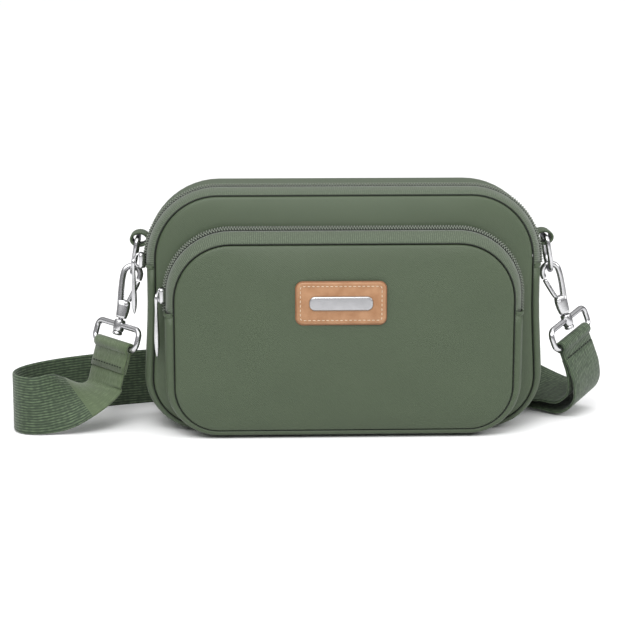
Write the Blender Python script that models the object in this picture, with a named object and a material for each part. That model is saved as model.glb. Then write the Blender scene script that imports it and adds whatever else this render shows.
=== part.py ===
"""A nylon crossbody purse with a zipped front pocket, D-rings, swivel snap hooks and a webbing strap.

Metres, +Z up, +X to the wearer's right in the front view, +Y to the back. The purse stands on its base
at z = 0, centred on the origin. Panels and gussets are separate cut pieces sewn with thin seams.
"""

import math

import bmesh
import bpy
from mathutils import Matrix, Vector

# The cut pieces
GAP = 0.0003
CLOTH = 0.0016
MAIN = {"half": 0.110, "bottom": 0.0, "top": 0.134, "r_top": 0.040, "r_bottom": 0.032}
MAIN["zip_end"] = 0.0915
POCKET = {"half": 0.097, "bottom": 0.001, "top": 0.1135, "r_top": 0.036, "r_bottom": 0.029}
POCKET["zip_end"] = 0.068
Y_BACK = 0.0349
Y_FRONT = -0.0130
Y_POCKET = -0.0310
TAPE_WIDTH = 0.0075
TEETH_WIDTH = 0.0030
TEETH_PROUD = 0.0006
BULGE_POCKET = 0.0040
BULGE_BACK = 0.0030
ARC_STEPS = 7

# The leather patch and its plain metal bar
PATCH_SIZE = (0.048, 0.0228)
PATCH_CENTRE = (-0.001, 0.0765)
PATCH_THICK = 0.0015
BAR_SIZE = (0.034, 0.0075)
BAR_THICK = 0.0008

# The zip sliders and pullers
SLIDER_SIZE = (0.0034, 0.0070, 0.0090)
PULLER_LENGTH = (0.031, 0.035)
PULLER_WIDTH = 0.0052
PULLER_THICK = 0.0012
PULLER_TOP = 0.0006

# The side loops and D-rings
LOOP_OUTER = 0.0045
LOOP_INNER = 0.0026
LOOP_WIDTH = 0.012
LOOP_Y = 0.0155
LOOP_Z = 0.1035
RING_WIRE = 0.0014
RING_HALF = 0.009
RING_DROP = 0.0195
RING_TILT = math.radians(10)

# The swivel snap hooks, along each hook's own line from the ring
HOOK_WIRE = 0.0017
NOSE_RADIUS = 0.0042
NOSE_LIFT = 0.0007
RING_TO_EYE = 0.0304
EYE_DROP = 0.0115
EYE_HALF = 0.0204
EYE_WIRE = 0.0016
EYE_CORNER = 0.0040
HOOK_DOWN = {"left": Vector((-0.250, -0.170, -0.953)), "right": Vector((0.342, 0.0, -0.940))}
EYE_ROW = {"left": Vector((0.610, -0.790, -0.019)), "right": Vector((-0.588, -0.777, -0.214))}

# The strap
WEB_WIDTH = 0.032
WEB_THICK = 0.0014
WEB_Z = 0.0163
LEFT_TAB = 0.014
STRAIGHT = 0.008
SEAM_GAP = 0.0010
RIGHT_TAB = 0.010
STRAP_SAMPLES = 5
LAYER_STEP = 0.0011
LAYER_BULGE = 0.0040
ADJUSTER = (0.045, 0.0440)
ADJUSTER_SIZE = (0.024, 0.0374)
ADJUSTER_LIFT = 0.0026
BAR_STEP = 0.0022


def material(name, colour, roughness, metallic=0.0):
    made = bpy.data.materials.new(name)
    made.use_nodes = True
    shader = made.node_tree.nodes["Principled BSDF"]
    shader.inputs["Base Color"].default_value = (*colour, 1)
    shader.inputs["Roughness"].default_value = roughness
    shader.inputs["Metallic"].default_value = metallic
    made.diffuse_color = (*colour, 1)
    return made


def add_object(name, bm, finish, origin=(0, 0, 0), smooth_degrees=40):
    """Turns a closed bmesh into an object whose origin is at the given point."""
    bmesh.ops.recalc_face_normals(bm, faces=bm.faces)
    mesh = bpy.data.meshes.new(name)
    bm.to_mesh(mesh)
    bm.free()
    mesh.transform(Matrix.Translation(-Vector(origin)))
    mesh.materials.append(finish)
    mesh.shade_smooth()
    mesh.set_sharp_from_angle(angle=math.radians(smooth_degrees))
    made = bpy.data.objects.new(name, mesh)
    made.location = origin
    bpy.context.scene.collection.objects.link(made)
    return made


def loft(rings, cyclic=False):
    """Joins rings of points, each with the same count, into one closed surface."""
    bm = bmesh.new()
    rows = [[bm.verts.new(p) for p in ring] for ring in rings]
    pairs = list(zip(rows, rows[1:]))
    if cyclic:
        pairs.append((rows[-1], rows[0]))
    for low, high in pairs:
        for i in range(len(low)):
            j = (i + 1) % len(low)
            bm.faces.new((low[i], low[j], high[j], high[i]))
    if not cyclic:
        bm.faces.new(rows[0][::-1])
        bm.faces.new(rows[-1])
    return bm


def arc(centre, radius, start, end, steps=ARC_STEPS):
    """Points on an arc in a plane, from one angle in degrees to another."""
    angles = [math.radians(start + (end - start) * i / steps) for i in range(steps + 1)]
    return [(centre[0] + radius * math.cos(a), centre[1] + radius * math.sin(a)) for a in angles]


def upper_path(shape, inset):
    """(x, z) points over the top, from the left end of the zip to its right end."""
    half, r = shape["half"], shape["r_top"]
    side, top = half - inset, shape["top"] - r
    low = shape["zip_end"] + GAP / 2
    left = arc((-half + r, top), r - inset, 180, 90)
    right = arc((half - r, top), r - inset, 90, 0)
    return [(-side, low), *left, *right, (side, low)]


def lower_path(shape, inset):
    """(x, z) points under the base, from the right end of the zip to its left end."""
    half, r = shape["half"], shape["r_bottom"]
    side, base = half - inset, shape["bottom"] + r
    high = shape["zip_end"] - GAP / 2
    right = arc((half - r, base), r - inset, 0, -90)
    left = arc((-half + r, base), r - inset, -90, -180)
    return [(side, high), *right, *left, (-side, high)]


def outline(shape, inset):
    return upper_path(shape, inset) + lower_path(shape, inset)


def band(name, path, shape, y_range, finish, proud=0.0):
    """A strip of gusset or tape: the path's outer and inner lines, swept from front to back."""
    front, back = y_range
    outer, inner = path(shape, -proud), path(shape, CLOTH)
    rings = [
        [(xo, front, zo), (xo, back, zo), (xi, back, zi), (xi, front, zi)]
        for (xo, zo), (xi, zi) in zip(outer, inner)
    ]
    return add_object(name, loft(rings), finish)


def panel(name, shape, seam_y, bulge, finish):
    """A cut panel with a flat inner side and a crowned outer side. A negative bulge crowns to the front."""
    inward = -math.copysign(CLOTH, bulge)
    steps = ((seam_y + inward, 0.0), (seam_y, 0.0), (seam_y + 0.6 * bulge, 0.006), (seam_y + bulge, 0.020))
    rings = [[(x, y, z) for x, z in outline(shape, inset)] for y, inset in steps]
    return add_object(name, loft(rings), finish)


def build_bag(nylon, tape, coil):
    """Front, back and pocket panels, the gussets between them and the two zips."""
    panel("back_panel", MAIN, Y_BACK, BULGE_BACK, nylon)
    flat = [[(x, y, z) for x, z in outline(MAIN, 0.0)] for y in (Y_FRONT + CLOTH, Y_FRONT)]
    add_object("front_panel", loft(flat), nylon)
    panel("pocket_panel", POCKET, Y_POCKET, -BULGE_POCKET, nylon)
    spans = (("main", MAIN, Y_FRONT, Y_BACK), ("pocket", POCKET, Y_POCKET, Y_FRONT + CLOTH))
    for part, shape, front, back in spans:
        start = front + CLOTH + GAP
        end = back - CLOTH - GAP
        band(f"{part}_lower_gusset", lower_path, shape, (start, end), nylon)
        teeth = start + TAPE_WIDTH - 0.002
        band(f"{part}_zip_tape_front", upper_path, shape, (start, teeth - GAP), tape)
        coil_range = (teeth, teeth + TEETH_WIDTH)
        band(f"{part}_zip_teeth", upper_path, shape, coil_range, coil, TEETH_PROUD)
        rear = teeth + TEETH_WIDTH + GAP
        rear_end = min(rear + TAPE_WIDTH, end)
        band(f"{part}_zip_tape_back", upper_path, shape, (rear, rear_end), tape)
        if end - rear_end > TAPE_WIDTH:
            band(f"{part}_top_gusset", upper_path, shape, (rear_end + GAP, end), nylon)


def rounded_plate(centre, size, radius, y_back, thickness, edge):
    """A plate with round corners in the XZ plane, its front edge chamfered."""
    w, h = size[0] / 2, size[1] / 2

    def ring(y, inset):
        r = radius - inset
        corners = ((w, h, 0), (-w, h, 90), (-w, -h, 180), (w, -h, 270))
        points = []
        for x, z, turn in corners:
            middle = (centre[0] + x - math.copysign(radius, x), centre[1] + z - math.copysign(radius, z))
            points += arc(middle, r, turn, turn + 90, 4)
        return [(x, y, z) for x, z in points]

    return loft([ring(y_back, 0), ring(y_back - thickness + edge, 0), ring(y_back - thickness, edge)])


def build_patch(leather, metal):
    back = Y_POCKET - BULGE_POCKET - GAP
    bm = rounded_plate(PATCH_CENTRE, PATCH_SIZE, 0.0035, back, PATCH_THICK, 0.0004)
    add_object("leather_patch", bm, leather)
    bar_back = back - PATCH_THICK - GAP
    bm = rounded_plate(PATCH_CENTRE, BAR_SIZE, 0.0030, bar_back, BAR_THICK, 0.0002)
    add_object("plain_metal_bar", bm, metal)


def sweep(points, radii, sides, across, cyclic=False):
    """A round rod of varying radius along points that lie in the plane square to across."""
    rings = []
    count = len(points)
    for i, point in enumerate(points):
        before = points[i - 1] if i or cyclic else point
        after = points[(i + 1) % count] if i < count - 1 or cyclic else point
        along = (after - before).normalized()
        side = across.cross(along).normalized()
        turns = [2 * math.pi * k / sides for k in range(sides)]
        rings.append([point + radii[i] * (across * math.cos(a) + side * math.sin(a)) for a in turns])
    return loft(rings, cyclic)


def build_loop(name, centre, finish):
    """A short fabric tube round the D-ring's straight bar."""
    ends = []
    for y in (-LOOP_WIDTH / 2, LOOP_WIDTH / 2):
        outer = arc((0, 0), LOOP_OUTER, 0, 337.5, 15)
        inner = arc((0, 0), LOOP_INNER, 0, 337.5, 15)
        ends.append((y, outer, inner))
    rings = []
    for k in range(16):
        ring = [(ends[0][1][k], ends[0][0]), (ends[1][1][k], ends[1][0])]
        ring += [(ends[1][2][k], ends[1][0]), (ends[0][2][k], ends[0][0])]
        rings.append([centre + Vector((x, y, z)) for (x, z), y in ring])
    return add_object(name, loft(rings, cyclic=True), finish)


def build_ring(name, centre, down, metal):
    """A D-ring whose straight bar runs along Y through the loop and whose bow hangs down."""
    sides = RING_DROP - RING_HALF
    flat = [(-0.0075, 0.0), (0.0, 0.0), (0.0075, 0.0), (0.0087, 0.0009)]
    bow = [(y, sides + d) for y, d in arc((0, 0), RING_HALF, 0, 180, 10)]
    path = [*flat, *bow, (-0.0087, 0.0009)]
    points = [centre + Vector((0, y, 0)) + down * d for y, d in path]
    across = down.cross(Vector((0, 1, 0))).normalized()
    bm = sweep(points, [RING_WIRE] * len(points), 8, across, cyclic=True)
    return add_object(name, bm, metal, origin=centre)


def hook_point(ring, down, row, u, v):
    """A point of a hook: v down its line from the ring's wire, u across in its own plane."""
    return ring + down * v + row * u


def build_hook(side, ring, down, outward, metal):
    """The snap hook's swivel stud, knuckle, spine and nose as one forged piece, and its sprung gate."""
    across = (Vector((0, 1, 0)) - down * down.y).normalized()
    row = across.cross(down).normalized() * -outward
    stud = [(0, 0.0358, 0.0028), (0, 0.0346, 0.0028), (0, 0.0342, 0.0015), (0, 0.0270, 0.0015)]
    knuckle = [(0, 0.0266, 0.0034), (0, 0.0215, 0.0034), (0.0008, 0.0198, 0.0029)]
    spine = [(0.0028, 0.0174, 0.0020), (0.0046, 0.0145, HOOK_WIRE), (NOSE_RADIUS, 0.0110, HOOK_WIRE)]
    spine.append((NOSE_RADIUS, 0.0060, HOOK_WIRE))
    bend = [(u, NOSE_LIFT + v, HOOK_WIRE) for u, v in arc((0, 0), NOSE_RADIUS, 0, -180, 8)]
    tip = [(-NOSE_RADIUS, 0.0032, 0.0015)]
    path = stud + knuckle + spine + bend + tip
    points = [hook_point(ring, down, row, u, v) for u, v, _ in path]
    bm = sweep(points, [r for _, _, r in path], 8, across)
    add_object(f"{side}_snap_hook", bm, metal, origin=ring)
    gate = [(-0.0038, 0.0162, 0.0012), (-0.0040, 0.0135, 0.0013)]
    gate += [(-NOSE_RADIUS, 0.0060, 0.0013), (-NOSE_RADIUS, 0.0039, 0.0012)]
    points = [hook_point(ring, down, row, u, v) for u, v, _ in gate]
    bm = sweep(points, [r for _, _, r in gate], 8, across)
    add_object(f"{side}_hook_gate", bm, metal, origin=points[0])


def cutter(name, bm):
    """A helper solid for a Boolean, left out of the part."""
    made = add_object(name, bm, bpy.data.materials["steel"])
    made.hide_render = True
    made.display_type = "WIRE"
    return made


def build_eye(side, ring, down, row, metal):
    """The strap eye: a round-cornered wire frame with a drilled collar for the hook's swivel stud."""
    across = down.cross(row).normalized()
    top, low, r = RING_TO_EYE, RING_TO_EYE + EYE_DROP, EYE_CORNER
    corners = ((1, top + r, -90), (1, low - r, 0), (-1, low - r, 90), (-1, top + r, 180))
    path = []
    for sign, v, turn in corners:
        path += arc((sign * (EYE_HALF - r), v), r, turn, turn + 90, 4)
    points = [ring + row * u + down * v for u, v in path]
    bm = sweep(points, [EYE_WIRE] * len(points), 8, across, cyclic=True)
    eye = add_object(f"{side}_strap_eye", bm, metal, origin=ring)
    collar = ("UNION", 0.0033, top - 0.0026, top + 0.0030)
    bore = ("DIFFERENCE", 0.0019, top - 0.0060, top + 0.0060)
    for operation, radius, start, end in (collar, bore):
        rod = sweep([ring + down * start, ring + down * end], [radius] * 2, 12, across)
        tool = eye.modifiers.new(operation.lower(), "BOOLEAN")
        tool.operation = operation
        tool.object = cutter(f"{side}_eye_{operation.lower()}_tool", rod)
    return eye


def build_tab(name, centre, down, row, length, finish):
    """Webbing folded round an eye's lower bar and sewn to itself: a ring with a flat two-layer tail."""
    normal = down.cross(row).normalized()
    inner_r, outer_r = EYE_WIRE + 0.0004, EYE_WIRE + 0.0004 + WEB_THICK
    half = WEB_THICK
    meet = math.sqrt(outer_r**2 - half**2)
    start = math.degrees(math.atan2(half, meet))
    around = arc((0, 0), 1.0, start, 360 - start, 14)
    inner = [(inner_r * c, inner_r * s) for c, s in arc((0, 0), 1.0, 8, 352, 16)]
    outer = [(length, half), *[(outer_r * c, outer_r * s) for c, s in around], (length, -half)]
    rings = []
    for (vo, no), (vi, ni) in zip(outer, inner):
        ring = []
        for u in (-WEB_WIDTH / 2, WEB_WIDTH / 2):
            pair = [centre + down * vo + normal * no + row * u, centre + down * vi + normal * ni + row * u]
            ring += pair if u < 0 else pair[::-1]
        rings.append(ring)
    return add_object(name, loft(rings, cyclic=True), finish)


def smooth_route(route, samples):
    """Points and width directions on a smooth curve through the route's points, its two ends straight."""
    places = [Vector(p[:3]) for p in route]
    rows = [Vector(p[3:]).normalized() for p in route]
    out = []
    for i in range(len(places) - 1):
        for k in range(samples):
            t = k / samples
            pick = [max(i - 1, 0), i, i + 1, min(i + 2, len(places) - 1)]
            pair = []
            for values in (places, rows):
                a, b, c, d = (values[n] for n in pick)
                bend = 2 * a - 5 * b + 4 * c - d
                swing = 3 * b - a - 3 * c + d
                curved = (2 * b + (c - a) * t + bend * t * t + swing * t**3) / 2
                pair.append(b.lerp(c, t) if i in (0, len(places) - 2) else curved)
            out.append(pair)
    out.append([places[-1], rows[-1]])
    return out


def frames(pairs):
    """(point, width direction, face normal) along a smoothed route, each square to the route."""
    made = []
    for i, (point, row) in enumerate(pairs):
        along = (pairs[min(i + 1, len(pairs) - 1)][0] - pairs[max(i - 1, 0)][0]).normalized()
        row = (row - along * row.dot(along)).normalized()
        made.append((point, row, along.cross(row)))
    return made


def build_ribbon(name, course, finish):
    """A flat strap of constant width and thickness along (point, width direction, normal) frames."""
    rings = []
    for point, row, normal in course:
        w, t = row * (WEB_WIDTH / 2), normal * (WEB_THICK / 2)
        rings.append([point - w - t, point + w - t, point + w + t, point - w + t])
    return add_object(name, loft(rings), finish)


def on_edge(points, lift=0.0):
    """Route points of a stretch that stands on its edge on the ground."""
    return [(x, y, WEB_Z + lift, 0, 0, -1) for x, y in points]


def left_route(start, down, row):
    """From the left eye's tab, down on to its edge and round the loose loop, to behind the purse."""
    first = [
        (*start, *row),
        (*(start + down * STRAIGHT), *row),
        (-0.1390, -0.0015, 0.0195, 0.64, -0.70, -0.20),
        (-0.1480, -0.0090, 0.0183, 0.52, -0.60, -0.60),
        (-0.1580, -0.0155, 0.0172, 0.22, -0.26, -0.94),
    ]
    loop = [(-0.1685, -0.0193), (-0.1775, -0.0158), (-0.1822, -0.0055), (-0.1795, 0.0085), (-0.1680, 0.0230)]
    back = [(-0.1500, 0.0360), (-0.1270, 0.0465), (-0.1000, 0.0555), (-0.0700, 0.0650), (-0.0350, 0.0710)]
    return first + on_edge(loop + back)


def folded_route():
    """Passes behind the purse with two round turns, which store the strap's spare length."""
    far = [(0.0000, 0.0725), (0.0300, 0.0725), (0.0600, 0.0725), (0.0690, 0.0703), (0.0725, 0.0647)]
    middle = [(0.0690, 0.0591), (0.0600, 0.0569), (0.0300, 0.0569), (0.0000, 0.0569), (-0.0350, 0.0569)]
    near = [(-0.0480, 0.0569), (-0.0570, 0.0547), (-0.0605, 0.0493), (-0.0570, 0.0440), (-0.0480, 0.0418)]
    return on_edge([*far, *middle, *near, (-0.0150, 0.0420), (0.0100, 0.0425)])


def right_route(end, down, row):
    """Through the slide adjuster, down flat past the purse's back corner and rolled up to the right tab."""
    x, y = ADJUSTER
    half = ADJUSTER_SIZE[0] / 2
    over = [(x - half, y - BAR_STEP), (x, y + BAR_STEP), (x + half, y - BAR_STEP)]
    low = [(0.0670, 0.0428), (0.0775, 0.0480)]
    turn = [
        (0.0885, 0.0515, 0.0157, -0.14, -0.28, -0.95),
        (0.1005, 0.0495, 0.0134, -0.32, -0.55, -0.77),
        (0.1120, 0.0435, 0.0092, -0.48, -0.72, -0.50),
        (0.1235, 0.0350, 0.0060, -0.58, -0.77, -0.28),
    ]
    rise = [
        (0.1327, 0.0259, 0.0051, *row),
        (0.1380, 0.0207, 0.0092, *row),
        (0.1403, 0.0169, 0.0165, *row),
        (*(end + down * STRAIGHT), *row),
        (*end, *row),
    ]
    return on_edge(over, ADJUSTER_LIFT) + on_edge(low) + turn + rise


def build_adjuster(metal):
    """A slide adjuster on its edge: a frame with a middle bar that the webbing weaves round."""
    x, y = ADJUSTER
    half, rail, bar = ADJUSTER_SIZE[0] / 2, 0.0022, 0.0010
    low, high = 0.0, ADJUSTER_SIZE[1]

    def slab(x0, x1, z0, z1, depth):
        return loft([[(a, y - depth, z0), (a, y + depth, z0), (a, y + depth, z1), (a, y - depth, z1)]
                     for a in (x0, x1)])

    frame = add_object("slide_adjuster", slab(x - half - rail, x + half + rail, low, high, bar), metal)
    for name, a, b in (("left_slot", x - half + bar, x - bar), ("right_slot", x + bar, x + half - bar)):
        cut = frame.modifiers.new(name, "BOOLEAN")
        cut.operation = "DIFFERENCE"
        cut.object = cutter(f"adjuster_{name}_tool", slab(a, b, low + rail, high - rail, 3 * bar))


def build_strap(hangers, webbing, metal):
    """The tabs on both eyes, the long ribbon, its doubled end and the slide adjuster."""
    tails = {}
    for side, length in (("left", LEFT_TAB), ("right", RIGHT_TAB)):
        ring, down, row = hangers[side]
        centre = ring + down * (RING_TO_EYE + EYE_DROP)
        build_tab(f"{side}_strap_tab", centre, down, row, length, webbing)
        tails[side] = centre + down * (length + SEAM_GAP)
    _, down, row = hangers["right"]
    face = down.cross(row)
    doubled = right_route(tails["right"] - face * LAYER_STEP, down, row)
    route = left_route(tails["left"], *hangers["left"][1:]) + folded_route() + doubled
    build_ribbon("strap", frames(smooth_route(route, STRAP_SAMPLES)), webbing)
    course = frames(smooth_route(doubled, STRAP_SAMPLES))[STRAP_SAMPLES:]
    last = len(course) - 1
    layer = []
    for i, (point, width, normal) in enumerate(course):
        wrap = BAR_STEP * max(0, 1 - i / STRAP_SAMPLES)
        apart = 2 * LAYER_STEP + wrap + LAYER_BULGE * math.sin(math.pi * (i / last) ** 2) ** 2
        layer.append((point - normal * apart, width, normal))
    build_ribbon("strap_doubled_end", layer, webbing)
    build_adjuster(metal)


def build_zip_pull(part, shape, teeth_y, length, metal):
    """The slider starts where the left side meets the corner's arc, so it can follow that arc."""
    deep, wide, tall = SLIDER_SIZE
    z = shape["top"] - shape["r_top"]
    inner = -shape["half"] - TEETH_PROUD - GAP
    chamfer = 0.001
    rings = []
    for step, share in ((0, 0.42), (0.35, 0.5), (0.75, 0.42), (1, 0.24)):
        x, half, rise = inner - step * deep, wide * share, tall * share
        corners = ((-half, rise - chamfer), (chamfer - half, rise))
        corners += ((half - chamfer, rise), (half, rise - chamfer))
        turned = [(-y, -up) for y, up in corners]
        rings.append([(x, teeth_y + y, z + up) for y, up in (*corners, *turned)])
    centre = (-shape["half"] + shape["r_top"], teeth_y, z)
    add_object(f"{part}_zip_slider", loft(rings), metal, origin=centre)
    hang = inner - deep - GAP - PULLER_THICK / 2
    rings = []
    widths = ((0, 0.55), (0.04, 0.80), (0.2, 0.62), (0.45, 0.80), (0.8, 1.0), (0.94, 0.75), (1, 0.25))
    for share, width in widths:
        half, thick = PULLER_WIDTH / 2 * width, PULLER_THICK / 2
        corners = ((-thick, -0.7 * half), (-thick, 0.7 * half), (0, half))
        turned = [(-x, -y) for x, y in corners]
        level = z + PULLER_TOP - share * length
        rings.append([(hang + x, teeth_y + y, level) for x, y in (*corners, *turned)])
    add_object(f"{part}_zip_puller", loft(rings), metal, origin=(hang, teeth_y, z))


def main():
    for old in list(bpy.data.objects):
        bpy.data.objects.remove(old, do_unlink=True)
    nylon = material("nylon", (0.105, 0.135, 0.085), 0.6)
    tape = material("zip_tape", (0.125, 0.160, 0.105), 0.8)
    coil = material("zip_coil", (0.060, 0.075, 0.055), 0.5)
    webbing = material("webbing", (0.070, 0.100, 0.060), 0.7)
    leather = material("leather", (0.560, 0.290, 0.110), 0.5)
    steel = material("steel", (0.750, 0.760, 0.780), 0.2, 1.0)
    build_bag(nylon, tape, coil)
    build_patch(leather, steel)
    teeth = CLOTH + GAP + TAPE_WIDTH - 0.002 + TEETH_WIDTH / 2
    build_zip_pull("main", MAIN, Y_FRONT + teeth, PULLER_LENGTH[0], steel)
    build_zip_pull("pocket", POCKET, Y_POCKET + teeth, PULLER_LENGTH[1], steel)
    hangers = {}
    for side, sign in (("left", -1), ("right", 1)):
        rise = LOOP_Z - (MAIN["top"] - MAIN["r_top"])
        wall = MAIN["half"] - MAIN["r_top"] + math.sqrt(MAIN["r_top"] ** 2 - rise**2)
        centre = Vector((sign * (wall + GAP + LOOP_OUTER), LOOP_Y, LOOP_Z))
        build_loop(f"{side}_side_loop", centre, nylon)
        hang = Vector((sign * math.sin(RING_TILT), 0, -math.cos(RING_TILT)))
        build_ring(f"{side}_d_ring", centre, hang, steel)
        ring = centre + hang * RING_DROP
        down = HOOK_DOWN[side].normalized()
        row = (EYE_ROW[side] - down * EYE_ROW[side].dot(down)).normalized()
        build_hook(side, ring, down, sign, steel)
        build_eye(side, ring, down, row, steel)
        hangers[side] = (ring, down, row)
    build_strap(hangers, webbing, steel)


main()
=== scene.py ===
"""Looks of the crossbody purse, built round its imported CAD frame. Metres, +Z up, +X right, +Y to the back."""

from math import asin, copysign, cos, degrees, pi, radians, sin

import bpy
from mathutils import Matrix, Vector, noise


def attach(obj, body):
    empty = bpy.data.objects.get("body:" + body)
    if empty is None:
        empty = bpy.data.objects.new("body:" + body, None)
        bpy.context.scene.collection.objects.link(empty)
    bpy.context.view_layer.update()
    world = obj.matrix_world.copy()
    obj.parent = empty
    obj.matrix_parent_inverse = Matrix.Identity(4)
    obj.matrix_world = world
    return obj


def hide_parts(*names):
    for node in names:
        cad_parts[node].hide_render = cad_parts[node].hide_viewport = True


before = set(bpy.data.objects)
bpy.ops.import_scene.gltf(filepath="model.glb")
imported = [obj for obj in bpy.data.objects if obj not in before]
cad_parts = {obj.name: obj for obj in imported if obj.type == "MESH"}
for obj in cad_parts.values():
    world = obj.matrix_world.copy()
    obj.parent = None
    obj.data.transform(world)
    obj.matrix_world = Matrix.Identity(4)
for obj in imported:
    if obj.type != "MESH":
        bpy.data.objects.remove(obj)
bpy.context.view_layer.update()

# The camera
AIM = Vector((-0.0165, 0.0, 0.063))
DISTANCE = 1.0
AZIMUTH = radians(-2)
ELEVATION = radians(11)
LENS = 103.6

# The bag's two cut outlines. Half width, base, top and corner radii are as in the CAD. "over" is the share
# of an inset that the top takes, "taper" draws the top in, and "shift" moves the outline along X.
MAIN = {
    "half": 0.110,
    "bottom": 0.0,
    "top": 0.134,
    "r_top": 0.040,
    "r_bottom": 0.032,
    "over": 0.74,
    "taper": 0.020,
    "shift": 0.0,
}
POCKET = {
    "half": 0.097,
    "bottom": 0.001,
    "top": 0.1135,
    "r_top": 0.036,
    "r_bottom": 0.029,
    "over": 1.36,
    "taper": 0.0,
    "shift": -0.0008,
}
UNDER = 0.65  # the share of an inset that the base takes
TAPER_START = 0.020
TAPER_HEIGHT = 0.055
ZIP_END = {"main": 0.0915, "pocket": 0.068}
CLOTH = 0.0012
ARC_STEPS = 14
SIDE_STEPS = 10
TOP_STEPS = 24

# The strap and what hangs it, as in the CAD
WEB_WIDTH = 0.032
WEB_THICK = 0.0014
WEB_Z = 0.0163
STRAIGHT = 0.008
SEAM_GAP = 0.0010
TAB = {"left": 0.014, "right": 0.010}
LAYER_STEP = 0.0011
LAYER_BULGE = 0.0040
ADJUSTER = (0.045, 0.0440)
ADJUSTER_HALF = 0.012
ADJUSTER_LIFT = 0.0026
BAR_STEP = 0.0022
STRAP_SAMPLES = 8
LOOP = (0.11366, 0.0155, 0.1035)
RING_HALF = 0.009
RING_DROP = 0.0195
RING_WIRE = 0.0014
RING_TILT = radians(10)
RING_TO_EYE = 0.0304
EYE_DROP = 0.0115
EYE_HALF = 0.0204
EYE_WIRE = 0.0016
EYE_CORNER = 0.0040
HOOK_DOWN = {"left": Vector((-0.250, -0.170, -0.953)), "right": Vector((0.342, 0.0, -0.940))}
EYE_ROW = {"left": Vector((0.610, -0.790, -0.019)), "right": Vector((-0.588, -0.777, -0.214))}


# Materials

# A wave texture's stripes at scale 1 are 1 / WAVE of a unit apart
WAVE = 3.183


def shader(name, rough, metallic=0.0, sheen=0.0):
    """A material with a Principled BSDF, and a helper that adds and links nodes to it."""
    made = bpy.data.materials.new(name)
    made.use_nodes = True
    tree = made.node_tree
    bsdf = tree.nodes["Principled BSDF"]
    bsdf.inputs["Roughness"].default_value = rough
    bsdf.inputs["Metallic"].default_value = metallic
    bsdf.inputs["Sheen Weight"].default_value = sheen
    bsdf.inputs["Sheen Roughness"].default_value = 0.4

    def node(kind, links=(), **values):
        new = tree.nodes.new(kind)
        for key, value in values.items():
            if key in new.inputs:
                new.inputs[key].default_value = value
            else:
                setattr(new, key, value)
        for socket, source in links:
            tree.links.new(source, new.inputs[socket])
        return new

    return made, bsdf, node, tree.links


def mix(node, first, second, factor=None, value=0.5):
    """A colour mix of two sources or two plain colours."""
    made = node("ShaderNodeMix", data_type="RGBA")
    links = made.id_data.links
    made.inputs["Factor"].default_value = value
    if factor is not None:
        links.new(factor, made.inputs["Factor"])
    for socket, source in (("A", first), ("B", second)):
        target = [i for i in made.inputs if i.name == socket and i.type == "RGBA"][0]
        if isinstance(source, tuple):
            target.default_value = (*source, 1)
        else:
            links.new(source, target)
    return [o for o in made.outputs if o.type == "RGBA"][0]


def scaled(node, place, size, turn=0.0):
    """Coordinates from a UV map in metres, scaled so that one unit is the given (x, y, z) size and turned."""
    shift = node("ShaderNodeMapping", [("Vector", place)])
    shift.inputs["Scale"].default_value = tuple(1 / s for s in size)
    shift.inputs["Rotation"].default_value = (0, 0, turn)
    return shift.outputs["Vector"]


def speckle(node, place, size, detail=2.0):
    """Noise with grains of about the given (x, y, z) size."""
    spot = scaled(node, place, size)
    return node("ShaderNodeTexNoise", [("Vector", spot)], Scale=1.0, Detail=detail).outputs["Fac"]


def bump(node, bsdf, links, height, distance, strength, base=None):
    """Bumps from a height, laid over an earlier bump's normal if one is given."""
    made = node("ShaderNodeBump", [("Height", height)], Distance=distance, Strength=strength)
    if base is not None:
        links.new(base, made.inputs["Normal"])
    links.new(made.outputs["Normal"], bsdf.inputs["Normal"])
    return made.outputs["Normal"]


def bands(node, place, distortion, axis="X"):
    """Smooth stripes across an axis of the place, 1 / WAVE of a unit apart."""
    wave = node("ShaderNodeTexWave", [("Vector", place)], wave_type="BANDS", bands_direction=axis,
                Scale=1.0, Distortion=distortion, Detail=1.0)
    wave.inputs["Detail Scale"].default_value = 1.5
    return wave.outputs["Fac"]


def ramp(node, source, *stops):
    """Greys from a source's values, through two stops of (value, grey)."""
    made = node("ShaderNodeValToRGB", [("Fac", source)])
    for element, (position, grey) in zip(made.color_ramp.elements, stops):
        element.position = position
        element.color = (grey, grey, grey, 1)
    return made.outputs["Color"]


def fabric(name, dark, light, twill=0.0008, rough=0.52, sheen=0.04, depth=0.00010):
    """Fine twill: a diagonal weave, broken yarns and a broad, faint change of colour."""
    made, bsdf, node, links = shader(name, rough, sheen=sheen)
    uv = node("ShaderNodeUVMap", uv_map="weave").outputs["UV"]
    weave = bands(node, scaled(node, uv, (twill * WAVE,) * 3, radians(55)), 0.4)
    yarn = speckle(node, uv, (0.0012, 0.0004, 1), 3.0)
    tone = mix(node, dark, light, speckle(node, uv, (0.03, 0.02, 1)))
    threads = mix(node, tone, tuple(c * 0.72 for c in dark), weave)
    mixed = mix(node, tone, threads, value=0.35)
    specks = ramp(node, yarn, (0.35, 0.80), (0.65, 1.12))
    final = node("ShaderNodeMix", data_type="RGBA", blend_type="MULTIPLY")
    final.inputs["Factor"].default_value = 0.6
    colours = [i for i in final.inputs if i.type == "RGBA"]
    links.new(mixed, colours[0])
    links.new(specks, colours[1])
    links.new([o for o in final.outputs if o.type == "RGBA"][0], bsdf.inputs["Base Color"])
    normal = bump(node, bsdf, links, weave, depth, 0.7)
    bump(node, bsdf, links, yarn, depth, 0.4, normal)
    return made


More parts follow.
